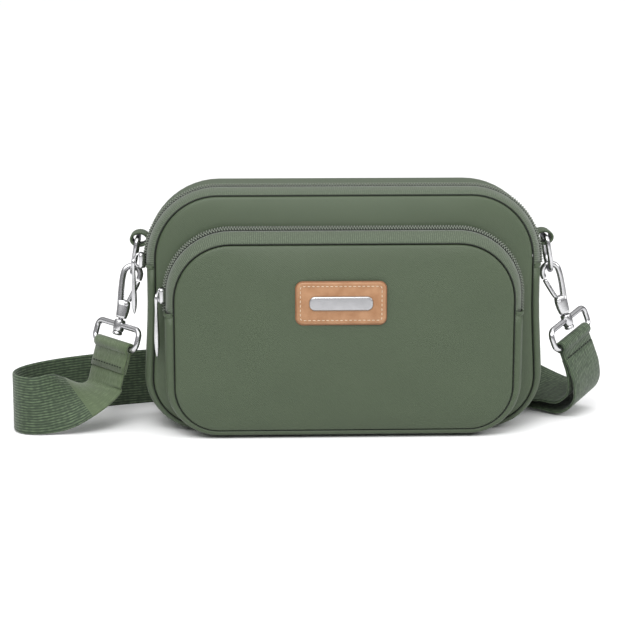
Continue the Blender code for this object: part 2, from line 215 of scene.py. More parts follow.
def ribbed(name, dark, light, rib, across, rough=0.75, sheen=0.2, depth=0.0002, broken=0.35):
    """Woven tape or webbing: ribs of the given width, broken into short floats along the other way, with
    painted shade in the grooves and painted light on the rib tops.
    """
    made, bsdf, node, links = shader(name, rough, sheen=sheen)
    uv = node("ShaderNodeUVMap", uv_map="weave").outputs["UV"]
    place = scaled(node, uv, (rib * WAVE, across * WAVE, 1))
    ribs = bands(node, place, 1.4)
    floats = bands(node, place, 2.2, "Y")
    wobble = speckle(node, uv, (rib * 0.7, across * 1.1, 1), 4.0)
    half = node("ShaderNodeMath", [(0, floats)], operation="MULTIPLY")
    half.inputs[1].default_value = broken
    height = node("ShaderNodeMath", [(0, ribs), (1, half.outputs[0])], operation="SUBTRACT")
    # Random changes in the ribs' depth, which also vary how strong the painted groove shade is
    uneven_depth = ramp(node, wobble, (0.36, 0.25), (0.64, 1.35))
    weave = node("ShaderNodeMath", [(0, height.outputs[0]), (1, uneven_depth)], operation="MULTIPLY")
    # The colour follows the ribs' height: painted shade in the grooves, painted light on the rib tops
    colour = mix(node, dark, light, weave.outputs[0])
    links.new(colour, bsdf.inputs["Base Color"])
    bump(node, bsdf, links, weave.outputs[0], depth, 0.8)
    return made


def metal(name, colour, rough):
    """Polished plate with faint polishing marks, slightly duller patches and a dark edge tint that paints shade
    into its reflections towards the edges.
    """
    made, bsdf, node, links = shader(name, rough, metallic=1.0)
    # A dark edge tint: painted shade on the reflections near grazing edges, standing in for darker surroundings
    bsdf.inputs["Specular Tint"].default_value = (0.18, 0.18, 0.19, 1)
    place = node("ShaderNodeTexCoord").outputs["Object"]
    marks = speckle(node, place, (0.0006, 0.0006, 0.004))
    dull = speckle(node, place, (0.006,) * 3)
    tint = mix(node, colour, tuple(c * 0.82 for c in colour), dull)
    links.new(tint, bsdf.inputs["Base Color"])
    spread = node("ShaderNodeMapRange", [("Value", dull)])
    spread.inputs["To Min"].default_value = rough * 0.7
    spread.inputs["To Max"].default_value = rough * 1.6
    links.new(spread.outputs["Result"], bsdf.inputs["Roughness"])
    bump(node, bsdf, links, marks, 0.00002, 0.25)
    return made


def leather_grain(name, dark, light):
    """Smooth tan leather: small pebbles, pores and a darker burnish in patches."""
    made, bsdf, node, links = shader(name, 0.48, sheen=0.1)
    place = node("ShaderNodeTexCoord").outputs["Object"]
    cells = node("ShaderNodeTexVoronoi", [("Vector", scaled(node, place, (0.0007,) * 3))], Scale=1.0)
    patches = speckle(node, place, (0.006,) * 3, 5.0)
    tone = mix(node, dark, light, ramp(node, patches, (0.35, 0.0), (0.65, 1.0)))
    links.new(tone, bsdf.inputs["Base Color"])
    bump(node, bsdf, links, cells.outputs["Distance"], 0.00006, 0.5)
    return made


def plain(name, colour, rough, grain=0.0004):
    """Thread, painted shade in seams and gaps, and moulded teeth: a colour with a fine grain."""
    made, bsdf, node, links = shader(name, rough)
    place = node("ShaderNodeTexCoord").outputs["Object"]
    fine = speckle(node, place, (grain,) * 3)
    dark = tuple(c * 0.6 for c in colour)
    light = tuple(min(c * 1.3, 1) for c in colour)
    links.new(mix(node, dark, light, fine), bsdf.inputs["Base Color"])
    bump(node, bsdf, links, fine, 0.00005, 0.4)
    return made


NYLON = fabric("nylon_twill", (0.040, 0.061, 0.029), (0.051, 0.075, 0.037))
TAPE = ribbed("ribbed_zip_tape", (0.046, 0.062, 0.038), (0.106, 0.137, 0.088), 0.0011, 0.0008, depth=0.00016)
WEBBING = ribbed("ribbed_webbing", (0.016, 0.030, 0.014), (0.084, 0.125, 0.064), 0.0015, 0.0030, broken=0.22)
SMOOTH_WEB = ribbed("fine_webbing", (0.052, 0.078, 0.034), (0.096, 0.135, 0.064), 0.0007, 0.0040,
                    depth=0.00008, sheen=0.4)
COIL = plain("zip_coil", (0.150, 0.172, 0.136), 0.28, 0.0003)
# Near-black: the tab stitches' own dark thread, and painted shade where it lines the seams' grooves and fills
# the zip coils' cores
DARK = plain("dark_thread_and_painted_shade", (0.012, 0.016, 0.011), 0.9)
THREAD = plain("beige_thread", (0.56, 0.44, 0.32), 0.7)
LEATHER = leather_grain("tan_leather", (0.270, 0.130, 0.056), (0.345, 0.182, 0.090))
EDGE = plain("leather_edge", (0.200, 0.080, 0.030), 0.6)
BRUSHED = metal("brushed_nickel", (0.44, 0.44, 0.45), 0.32)
STEEL = metal("polished_nickel", (0.62, 0.62, 0.63), 0.20)


# Mesh helpers

BACK = Vector((0, 1, 0))


def build(name, points, faces, finish, uvs=None):
    """A mesh object; uvs gives each face's corner places in metres."""
    mesh = bpy.data.meshes.new(name)
    mesh.from_pydata([tuple(p) for p in points], [], faces)
    layer = mesh.uv_layers.new(name="weave")
    for polygon, corners in zip(mesh.polygons, uvs or []):
        for loop, place in zip(polygon.loop_indices, corners):
            layer.data[loop].uv = place
    mesh.materials.append(finish)
    mesh.shade_smooth()
    made = bpy.data.objects.new(name, mesh)
    bpy.context.scene.collection.objects.link(made)
    return made


def span(a, b):
    return (Vector(a) - Vector(b)).length


def grid(name, rows, finish, closed_u=False, closed_v=False, caps=False, flip=False):
    """A smooth sheet through rows of points, with a UV map in metres: x along a row, y from row to row."""
    count = len(rows[0])
    points = [p for row in rows for p in row]
    faces, uvs = [], []
    down = [0.0]
    for low, high in zip(rows, rows[1:]):
        down.append(down[-1] + span(low[count // 2], high[count // 2]))
    down.append(down[-1] + span(rows[-1][0], rows[0][0]))
    middle = rows[len(rows) // 2]
    along = [0.0]
    for i in range(count):
        along.append(along[-1] + span(middle[i], middle[(i + 1) % count]))
    for r in range(len(rows) if closed_v else len(rows) - 1):
        for i in range(count if closed_u else count - 1):
            j, s = (i + 1) % count, (r + 1) % len(rows)
            corners = [r * count + i, r * count + j, s * count + j, s * count + i]
            places = [(along[i], down[r]), (along[i + 1], down[r]), (along[i + 1], down[r + 1])]
            places.append((along[i], down[r + 1]))
            faces.append(corners[::-1] if flip else corners)
            uvs.append(places[::-1] if flip else places)
    if caps:
        ends = [list(range(count))[::-1], list(range(len(points) - count, len(points)))]
        faces += [end[::-1] for end in ends] if flip else ends
        uvs += [[(0, 0)] * count] * 2
    return build(name, points, faces, finish, uvs)


def thicken(made, depth=CLOTH):
    """Gives a sheet its cloth thickness on the side away from its normals."""
    tool = made.modifiers.new("cloth", "SOLIDIFY")
    tool.thickness = depth
    tool.offset = -1
    return made


def soften(made):
    """One level of subdivision, the same on screen and in a render."""
    tool = made.modifiers.new("smooth", "SUBSURF")
    tool.levels = 1
    tool.render_levels = 1
    return made


def join(name, pieces):
    """One object from several, so that small repeats are one piece."""
    with bpy.context.temp_override(active_object=pieces[0], selected_editable_objects=pieces):
        bpy.ops.object.join()
    pieces[0].name = name
    return pieces[0]


def arc(centre, radius, start, end, steps):
    """Points on an arc, from one angle to another in degrees, both ends included."""
    angles = [radians(start + (end - start) * i / steps) for i in range(steps + 1)]
    return [(centre[0] + radius * cos(a), centre[1] + radius * sin(a)) for a in angles]


def line(a, b, steps):
    """Evenly spaced points from a towards b, without b."""
    return [(a[0] + (b[0] - a[0]) * i / steps, a[1] + (b[1] - a[1]) * i / steps) for i in range(steps)]


def round_angles(count):
    """Evenly spaced angles once round a section."""
    return [2 * pi * k / count for k in range(count)]


def squared(value, power):
    """A sine or cosine pushed outwards, so that a round section becomes squarer."""
    return copysign(abs(value) ** power, value)


def lengths(places):
    """The distance along a line of points, at each of them."""
    marks = [0.0]
    for a, b in zip(places, places[1:]):
        marks.append(marks[-1] + (b - a).length)
    return marks


def catmull(a, b, c, d, t):
    """The value at t from b to c on the smooth curve through a, b, c and d."""
    bend = 2 * a - 5 * b + 4 * c - d
    swing = 3 * b - a - 3 * c + d
    return (2 * b + (c - a) * t + bend * t * t + swing * t**3) / 2


def leaned(shape, points):
    """The outline drawn in towards its top and shifted, as the filled bag stands."""
    made = []
    for x, z in points:
        share = min(max((z - TAPER_START) / TAPER_HEIGHT, 0), 1)
        narrow = 1 - shape["taper"] * share * share * (3 - 2 * share)
        made.append((x * narrow + shape["shift"], z))
    return made


def four_corners(shape, inset):
    """An outline's four round corners, clockwise from the left top one."""
    half, bottom = shape["half"] - inset, shape["bottom"] + inset * UNDER
    top = shape["top"] - inset * shape["over"]
    rt, rb = shape["r_top"] - inset, shape["r_bottom"] - inset
    return (
        arc((-half + rt, top - rt), rt, 180, 90, ARC_STEPS),
        arc((half - rt, top - rt), rt, 90, 0, ARC_STEPS),
        arc((half - rb, bottom + rb), rb, 0, -90, ARC_STEPS),
        arc((-half + rb, bottom + rb), rb, -90, -180, ARC_STEPS),
    )


def outline(shape, inset):
    """(x, z) points round a cut outline, clockwise from the start of its left top corner."""
    left_top, right_top, right_low, left_low = four_corners(shape, inset)
    points = (
        left_top[:-1]
        + line(left_top[-1], right_top[0], TOP_STEPS)
        + right_top[:-1]
        + line(right_top[-1], right_low[0], SIDE_STEPS)
        + right_low[:-1]
        + line(right_low[-1], left_low[0], TOP_STEPS)
        + left_low[:-1]
        + line(left_low[-1], left_top[0], SIDE_STEPS)
    )
    return leaned(shape, points)


def upper(shape, zip_end, inset):
    """(x, z) points over the top only, from the left end of the zip to its right end."""
    left, right, _, _ = four_corners(shape, inset)
    start, end = (inset - shape["half"], zip_end), (shape["half"] - inset, zip_end)
    points = line(start, left[0], 3) + left[:-1] + line(left[-1], right[0], TOP_STEPS)
    points += right[:-1] + line(right[-1], end, 3) + [end]
    return leaned(shape, points)


def lower(shape, zip_end, inset):
    """(x, z) points under the base, from the right end of the zip to its left end."""
    _, _, right, left = four_corners(shape, inset)
    start, end = (shape["half"] - inset, zip_end), (inset - shape["half"], zip_end)
    points = line(start, right[0], 6) + right[:-1] + line(right[-1], left[0], TOP_STEPS)
    points += left[:-1] + line(left[-1], end, 6) + [end]
    return leaned(shape, points)


def tube(name, points, radii, finish, sides=14, across=None, cyclic=False):
    """A round rod of varying radius along points; across fixes the rings' direction in a flat path."""
    rings = []
    count = len(points)
    points = [Vector(p) for p in points]
    side = across
    for i, point in enumerate(points):
        before = points[i - 1] if i or cyclic else point
        after = points[(i + 1) % count] if i < count - 1 or cyclic else point
        along = (after - before).normalized()
        if across is None:
            guess = side if side is not None else Vector((0.13, 0.29, 0.95))
            side = (guess - along * guess.dot(along)).normalized()
        other = along.cross(side).normalized()
        radius = radii[i] if hasattr(radii, "__len__") else radii
        ring = [side * cos(a) + other * sin(a) for a in round_angles(sides)]
        rings.append([point + radius * out for out in ring])
    return grid(name, rings, finish, closed_u=True, closed_v=cyclic, caps=not cyclic)


def done(made, slot, *nodes, body="bag"):
    """Attaches a piece to the body it rides on and hides the CAD nodes it stands for; the slot argument is not
    used.
    """
    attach(made, body)
    if nodes:
        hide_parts(*nodes)


# The bag

SEAM_INSET = {"main": 0.0046, "pocket": 0.0050}
SEAM_Y = {"main": -0.0138, "pocket": -0.0312}
# The radius of the near-black line of painted shade in each seam
SEAM_SHADE_RADIUS = 0.00045
SHOULDER_START = radians(6)
SHOULDER_END = radians(72)
SQUARENESS = 0.6
GUSSET_BACK = {"main": 0.0338, "pocket": -0.0137}
PANEL_SHARES = (1.0, 0.996, 0.988, 0.975, 0.955, 0.93, 0.89, 0.84, 0.77, 0.68, 0.57, 0.44, 0.30, 0.15)
PANEL_FLATNESS = 2.2
PANEL_EDGE = 0.62
PANEL_TUCK = 0.0012
COIL_Y = {"main": -0.0030, "pocket": -0.0212}
COIL_RISE = {"main": 0.0014, "pocket": 0.0004}
COIL_HALF = 0.0014
COIL_PITCH = 0.0015
COIL_LEAN = 0.75
COIL_BED = ((0.0020, -0.0014), (0.0012, -0.0017), (-0.0006, 0.0010), (0.0008, 0.0020))
TOOTH = ((0.0, 0.35), (0.0003, 0.62), (0.0010, 0.55), (COIL_HALF + 0.0001, 0.30))
TOOTH_SECTION = ((1, 0), (0.7, 0.7), (0, 1), (-0.7, 0.7), (-1, 0), (0, -1))
REAR_TAPE = 0.0072
REAR_DROP = {"main": 0.0, "pocket": 0.0022}
BAND_CLOTH = 0.0010
FOLD_CLOTH = 0.0007


def shoulder(part, back, rise):
    """The rounded profile from a front seam up and back to the zip coil."""
    inset, front = SEAM_INSET[part] + rise, SEAM_Y[part]
    low, high = SHOULDER_START, SHOULDER_END
    points = []
    for k in range(9):
        a = low + (high - low) * k / 8
        share = (sin(a) - sin(low)) / (sin(high) - sin(low))
        depth = (cos(low) - cos(a)) / (cos(low) - cos(high))
        points.append((inset * (1 - share) - rise, front + (back - front) * depth))
    return points


def square_shoulder(part, back):
    """The fuller, squarer profile of the gusset below the zip."""
    points = []
    for k in range(11):
        a = radians(9 * k)
        out, deep = sin(a) ** SQUARENESS, 1 - abs(cos(a)) ** SQUARENESS
        points.append((SEAM_INSET[part] * (1 - out), SEAM_Y[part] + (back - SEAM_Y[part]) * deep))
    return points


def crowned(name, shape, inset, seam_y, bulge, seed):
    """A full panel inside an outline: its edge tucks into the seam and its middle stands proud."""
    edge = outline(shape, inset)
    middle = (shape["top"] + shape["bottom"]) / 2
    tuck = -copysign(PANEL_TUCK, bulge)
    tucks = {0: tuck, 1: tuck * 0.25}
    rows = []
    for k, share in enumerate(PANEL_SHARES):
        lift = bulge * (1 - share**PANEL_FLATNESS) ** PANEL_EDGE + tucks.get(k, 0)
        row = []
        for x, z in edge:
            px, pz = x * share, middle + (z - middle) * share
            soft = noise.noise(Vector((px * 16 + seed, pz * 22, seed))) * 0.0010
            soft += noise.noise(Vector((px * 60, pz * 45, seed + 3))) * 0.00028
            row.append((px, seam_y + lift + soft * (1 - share**6), pz))
        rows.append(row)
    points = [p for row in rows for p in row]
    count = len(edge)
    faces = []
    for r in range(len(rows) - 1):
        for i in range(count):
            j = (i + 1) % count
            faces.append([r * count + i, r * count + j, (r + 1) * count + j, (r + 1) * count + i])
    points.append((0.0, seam_y + bulge, middle))
    last = (len(rows) - 1) * count
    faces += [[last + i, last + (i + 1) % count, len(points) - 1] for i in range(count)]
    if bulge < 0:
        faces = [face[::-1] for face in faces]
    uvs = [[(points[v][0], points[v][2]) for v in face] for face in faces]
    return thicken(build(name, points, faces, NYLON, uvs))


def seam_line(name, shape, inset, y):
    """A near-black line at the bottom of a seam's groove: painted shade in the groove."""
    points = [(x, y, z) for x, z in outline(shape, inset)]
    return tube(name, points, SEAM_SHADE_RADIUS, DARK, sides=6, across=BACK, cyclic=True)


def coil(name, shape, zip_end, y, rise):
    """Two rows of small round teeth that mesh in the middle, on a near-black core that is painted shade between
    and under them.
    """
    places = [Vector((x, y, z)) for x, z in upper(shape, zip_end, -rise)]
    marks = lengths(places)
    points, faces = [], []
    spot, k = COIL_PITCH / 2, 0
    for _ in range(int(marks[-1] / COIL_PITCH)):
        while marks[k + 1] < spot:
            k += 1
        share = (spot - marks[k]) / (marks[k + 1] - marks[k])
        centre = places[k].lerp(places[k + 1], share)
        along = (places[k + 1] - places[k]).normalized()
        out = along.cross(BACK).normalized()
        for sign in (-1, 1):
            across = (Vector((0, sign, 0)) + out * (sign * COIL_LEAN) + along * 0.35).normalized()
            base = len(points)
            turned = across.cross(out).normalized()
            middle = centre + along * (COIL_PITCH / 4 * sign)
            for reach, girth in TOOTH:
                spread = girth * COIL_PITCH * 0.46
                for a, b in TOOTH_SECTION:
                    points.append(middle + across * reach + (turned * a + out * b) * spread)
            for ring in range(3):
                for i in range(6):
                    j = (i + 1) % 6
                    low = base + ring * 6
                    faces.append([low + 6 + i, low + 6 + j, low + j, low + i])
            faces.append([base + i for i in range(6)])
            faces.append([base + 18 + i for i in range(6)][::-1])
        spot += COIL_PITCH
    made = build(name, points, faces, COIL)
    # A near-black core under the teeth: painted shade showing between them
    core = [[(x, y + dy, z) for x, z in upper(shape, zip_end, inset - rise)] for inset, dy in COIL_BED]
    bed = grid(name + "_bed", core, DARK, closed_v=True)
    return join(name, [made, bed])


def band(name, route, profile, finish):
    """Cloth that follows an outline: the profile is (inset, y) points from the front to the back."""
    rows = [[(x, y, z) for x, z in route(inset)] for inset, y in profile]
    return thicken(grid(name, rows, finish), BAND_CLOTH)


def top_profile(start, back):
    """The profile of the gusset behind the main zip, which swells a little."""
    full = start + 0.0020
    points = [(0.0009, start + 0.0001), (-0.0006, start + 0.0006), (-0.0009, full)]
    for k in range(1, 9):
        share = k / 8
        swell = 0.0009 + 0.0009 * sin(pi * share * 0.8)
        swell *= 1 - share**6 * 0.8
        points.append((-swell, full + (back - full) * share))
    return points


def build_shell(part, shape):
    """A zip's tapes and coil over an outline's top, the gusset below, and the folds where they meet."""
    zip_end, coil_y, rise, back = ZIP_END[part], COIL_Y[part], COIL_RISE[part], GUSSET_BACK[part]

    def over(inset):
        return upper(shape, zip_end + 0.0002, inset)

    def under(inset):
        return lower(shape, zip_end - 0.0002, inset)

    front = shoulder(part, coil_y - COIL_HALF, rise - 0.0010)
    tape = band(f"{part}_front_tape", over, front, TAPE)
    done(tape, "zip_tape", f"{part}_zip_tape_front")
    teeth = coil(f"{part}_coil", shape, zip_end, coil_y, rise)
    done(teeth, "zip_coil", f"{part}_zip_teeth")
    start = coil_y + COIL_HALF + 0.0004
    end = min(start + REAR_TAPE, back)
    drop = REAR_DROP[part]
    rear = [(0.0004 - rise, start), (0.0002 - rise, start + 0.0010)]
    rear += [((drop - rise) / 2, (start + end) / 2), (drop, end)]
    done(band(f"{part}_rear_tape", over, rear, TAPE), "zip_tape", f"{part}_zip_tape_back")
    flat = [(0.0, start - 0.0003 + (back - start) * k / 6) for k in range(1, 7)]
    base = [*square_shoulder(part, coil_y), *flat]
    done(band(f"{part}_gusset", under, base, NYLON), "nylon", f"{part}_lower_gusset")
    if part == "main":
        shell = band("main_top_shell", over, top_profile(end, back), NYLON)
        done(shell, "nylon", "main_top_gusset")
    wrapped = base[:-4]
    for sign, place in ((-1, "left"), (1, "right")):
        fold = []
        for t in range(5):
            level = zip_end + 0.0012 - 0.0024 * t / 4
            out = 0.0006 * sin(pi * t / 4)
            edge = [(sign * (shape["half"] - inset + out), level) for inset, _ in wrapped]
            fold.append([(x, y, z) for (x, z), (_, y) in zip(leaned(shape, edge), wrapped)])
        stop = thicken(grid(f"{part}_{place}_zip_stop", fold, NYLON, flip=sign > 0), FOLD_CLOTH)
        done(stop, "nylon")


def build_bag():
    """The main body and the pocket with their zips, then the three panels and the painted shade line along
    every seam.
    """
    build_shell("main", MAIN)
    build_shell("pocket", POCKET)
    main_inset, pocket_inset = SEAM_INSET["main"], SEAM_INSET["pocket"]
    main_y, pocket_y = SEAM_Y["main"], SEAM_Y["pocket"]
    for name, shape, inset, y, bulge, seed, node in (
        ("main_front", MAIN, main_inset + 0.0005, main_y, -0.0058, 2.0, "front_panel"),
        ("pocket_front", POCKET, pocket_inset + 0.0005, pocket_y - 0.0002, -0.0042, 7.0, "pocket_panel"),
        ("back_shell", MAIN, 0.0006, 0.0345, 0.0030, 11.0, "back_panel"),
    ):
        done(crowned(name, shape, inset, y, bulge, seed), "nylon", node)
    # Near-black lines along the bottom of every seam's groove: painted shade
    for name, shape, inset, y in (
        ("main_front_seam", MAIN, main_inset, main_y + 0.0004),
        ("pocket_front_seam", POCKET, pocket_inset, pocket_y + 0.0004),
        ("back_seam", MAIN, 0.0003, 0.0341),
        ("pocket_back_seam", POCKET, 0.0004, -0.0140),
    ):
        done(seam_line(name, shape, inset, y), "nylon")


def rounded(centre, size, radius, inset, steps=6):
    """(x, z) points round a plate with round corners."""
    w, h, r = size[0] / 2 - inset, size[1] / 2 - inset, max(radius - inset, 0.0003)
    corners = ((w - r, h - r, 0), (r - w, h - r, 90), (r - w, r - h, 180), (w - r, r - h, 270))
    points = []
    for x, z, turn in corners:
        points += arc((centre[0] + x, centre[1] + z), r, turn, turn + 90, steps)
    return points


PATCH_SIZE = (0.048, 0.0228)
PATCH_CENTRE = (-0.0030, 0.0755)
PATCH_BACK = -0.0353
PATCH_CORNER = 0.0035
PATCH_FACE = (
    (0.0002, -0.0004), (0.0000, -0.0010), (0.0005, -0.0015), (0.0016, -0.0016),
    (0.0022, -0.00145), (0.0030, -0.0016),
)
BAR_SIZE = (0.034, 0.0075)
BAR_CORNER = 0.0030
BAR_FACE = ((0.0000, -0.0016), (0.0000, -0.0021), (0.0004, -0.0025), (0.0012, -0.0026))


def plate(name, size, radius, profile, finish):
    """A closed plate on the pocket, from (inset, depth) rings round a rounded outline."""
    rows = []
    for inset, depth in profile:
        rows.append([(x, PATCH_BACK + depth, z) for x, z in rounded(PATCH_CENTRE, size, radius, inset)])
    return grid(name, rows, finish, closed_u=True, caps=True)


def build_patch():
    """The leather patch with its burnished edge and stitches, and a plain polished bar."""
    body = plate("leather_face", PATCH_SIZE, PATCH_CORNER, PATCH_FACE, LEATHER)
    done(body, "leather", "leather_patch")
    edge = rounded(PATCH_CENTRE, PATCH_SIZE, PATCH_CORNER, 0.0)
    rim = [(x, PATCH_BACK - 0.0005, z) for x, z in edge]
    done(tube("leather_rim", rim, 0.00055, EDGE, 8, BACK, cyclic=True), "leather")
    edge = rounded(PATCH_CENTRE, PATCH_SIZE, PATCH_CORNER, 0.0022, 10)
    loop = [Vector((x, PATCH_BACK - 0.00158, z)) for x, z in edge]
    stitches = dashes("patch_stitch", loop, 0.0016, 0.0024, 0.00024, THREAD, cyclic=True)
    done(stitches, "leather")
    bar = plate("name_bar", BAR_SIZE, BAR_CORNER, BAR_FACE, BRUSHED)
    done(bar, "steel", "plain_metal_bar")


def dashes(name, loop, length, pitch, radius, finish, cyclic=False):
    """Short raised stitches along a line of points."""
    places = loop + loop[:1] if cyclic else loop
    marks = lengths(places)
    count = max(int(marks[-1] / pitch), 1)
    pitch = marks[-1] / count
    pieces = []

    def at(spot):
        k = max(i for i in range(len(marks) - 1) if marks[i] <= spot or i == 0)
        share = min((spot - marks[k]) / max(marks[k + 1] - marks[k], 1e-9), 1)
        return places[k].lerp(places[k + 1], share)

    for n in range(count):
        spots = [pitch * n + length * t for t in (0, 0.25, 0.5, 0.75, 1)]
        radii = [radius * s for s in (0.45, 0.9, 1.0, 0.9, 0.45)]
        pieces.append(tube(f"{name}_{n}", [at(min(s, marks[-1])) for s in spots], radii, finish, 6))
    return join(name, pieces)


# Zip pulls

PULLER_LENGTH = {"main": 0.031, "pocket": 0.035}
SLIDER_IN = {"main": 0.0006, "pocket": -0.0006}
SLIDER_SECTIONS = (
    (-0.0016, 0.0030, 0.0039), (0.0006, 0.0035, 0.0044), (0.0014, 0.0035, 0.0044),
    (0.0018, 0.0030, 0.0038),
)
PULLER_WIDTHS = (
    (0.0, 0.16), (0.03, 0.50), (0.08, 0.66), (0.16, 0.56), (0.24, 0.50), (0.40, 0.66),
    (0.60, 0.86), (0.78, 0.95), (0.88, 0.80), (0.95, 0.50), (1.0, 0.14),
)


def build_pulls():
    """Each slider with its bridge, and each long, slim puller with its ring."""
    for part, shape in (("main", MAIN), ("pocket", POCKET)):
        z, y = shape["top"] - shape["r_top"], COIL_Y[part]
        wall = -shape["half"] - 0.0009 + SLIDER_IN[part]
        rows = []
        for x, width, height in SLIDER_SECTIONS:
            outlined = rounded((y, z), (2 * width, 2 * height), 0.0018, 0)
            rows.append([(wall - x, py, pz) for py, pz in outlined])
        body = grid(f"{part}_slider_body", rows, STEEL, closed_u=True, caps=True, flip=True)
        root = wall - 0.0012
        reach = -shape["half"] - 0.0046
        half_bridge = ((root, 0.0038), (reach + 0.0010, 0.0030), (reach, 0.0012))
        bridge = [(x, y, z + up) for x, up in half_bridge] + [(x, y, z - up) for x, up in half_bridge[::-1]]
        arch = tube(f"{part}_slider_bridge", bridge, 0.00075, STEEL, 10, BACK)
        slider = join(f"{part}_slider_piece", [body, soften(arch)])
        done(slider, "steel", f"{part}_zip_slider", body=f"{part}_slider")
        hang = -shape["half"] - 0.0052
        rows = []
        for share, width in PULLER_WIDTHS:
            half, thick = 0.0024 * width, 0.0017 * width
            level = z + 0.0010 - share * PULLER_LENGTH[part]
            ring = []
            for a in round_angles(16):
                flat_x = squared(cos(a), 0.7) * thick
                flat_y = squared(sin(a), 0.8) * half
                ring.append((hang + flat_x, y + flat_y, level))
            rows.append(ring)
        puller = soften(grid(f"{part}_puller_piece", rows, STEEL, closed_u=True, caps=True, flip=True))
        done(puller, "steel", f"{part}_zip_puller", body=f"{part}_puller")


# Rings, hooks and eyes


def hangers():
    """Each side's ring point, hook direction and eye row, as in the CAD."""
    made = {}
    for side, sign in (("left", -1), ("right", 1)):
        centre = Vector((sign * LOOP[0], LOOP[1], LOOP[2]))
        hang = Vector((sign * sin(RING_TILT), 0, -cos(RING_TILT)))
        ring = centre + hang * RING_DROP
        down = HOOK_DOWN[side].normalized()
        row = (EYE_ROW[side] - down * EYE_ROW[side].dot(down)).normalized()
        made[side] = (centre, hang, ring, down, row, sign)
    return made


def smooth_path(points, steps):
    """Points and radii on a smooth curve through (point, radius) pairs."""
    out = []
    count = len(points)
    for i in range(count - 1):
        pick = [min(max(i + k, 0), count - 1) for k in (-1, 0, 1, 2)]
        a, b, c, d = (points[k][0] for k in pick)
        ra, rb = points[i][1], points[i + 1][1]
        for k in range(steps):
            t = k / steps
            out.append((catmull(a, b, c, d, t), ra + (rb - ra) * t))
    out.append(points[-1])
    return [p for p, _ in out], [r for _, r in out]


# Places across the fabric loop, each with how much the loop swells there
LOOP_SECTIONS = (
    (-0.006, 1.0), (-0.0057, 1.018), (-0.0030, 1.024), (0.0030, 1.024), (0.0057, 1.018),
    (0.006, 1.0),
)


def build_hardware(hang_points):
    """Each side's D-ring and the fabric loop that holds it, then its hook and its eye."""
    for side, (centre, hang, ring, down, row, sign) in hang_points.items():
        sides = RING_DROP - RING_HALF
        flat = [(y * 0.001, 0.0) for y in (-7.4, -4, 0, 4, 7.4)] + [(0.0084, 0.0004), (0.0090, 0.0016)]
        bow = [(y, sides + d) for y, d in arc((0, 0), RING_HALF, 0, 180, 22)]
        path = [*flat, (0.0090, 0.005), *bow, (-0.0090, 0.005), (-0.0090, 0.0016), (-0.0084, 0.0004)]
        points = [centre + BACK * y + hang * d for y, d in path]
        across = hang.cross(BACK).normalized()
        made = tube(f"{side}_ring_wire", points, RING_WIRE, STEEL, 16, across, cyclic=True)
        done(made, "steel", f"{side}_d_ring", body=f"{side}_ring")
        wrap = []
        for y, grow in LOOP_SECTIONS:
            turn = []
            for a in round_angles(28):
                x = -sign * 0.0010 + 0.0052 * cos(a) * grow
                turn.append(centre + Vector((x, y, 0.0042 * sin(a) * grow)))
            wrap.append(turn)
        cord_loop = thicken(grid(f"{side}_fabric_loop", wrap, NYLON, closed_u=True, flip=True), 0.0014)
        done(cord_loop, "nylon", f"{side}_side_loop")
        build_hook(side, ring, down, sign)
        build_eye(side, ring, down, row)


# Sections down the hook's axis: (place, half width, half thickness, shift) of the knuckle, (place, radius)
# of the stud, and (place, radius) across it of the rivet
KNUCKLE = (
    (0.0160, 0.0022, 0.0012, 0.0010),
    (0.0170, 0.0036, 0.0020, 0.0006),
    (0.0195, 0.0037, 0.0023, 0.0002),
    (0.0225, 0.0035, 0.0025, 0.0),
    (0.0252, 0.0032, 0.0027, 0.0),
    (0.0264, 0.0029, 0.0027, 0.0),
    (0.0266, 0.0016, 0.0016, 0.0),
)
STUD = (
    (0.0264, 0.00145), (0.0300, 0.00145), (0.0339, 0.00145), (0.0343, 0.0026),
    (0.0352, 0.0029), (0.0360, 0.0025), (0.0363, 0.0012),
)
RIVET = (
    (-0.0030, 0.0008), (-0.0029, 0.0013), (-0.0025, 0.0014), (0.0025, 0.0014),
    (0.0029, 0.0013), (0.0030, 0.0008),
)


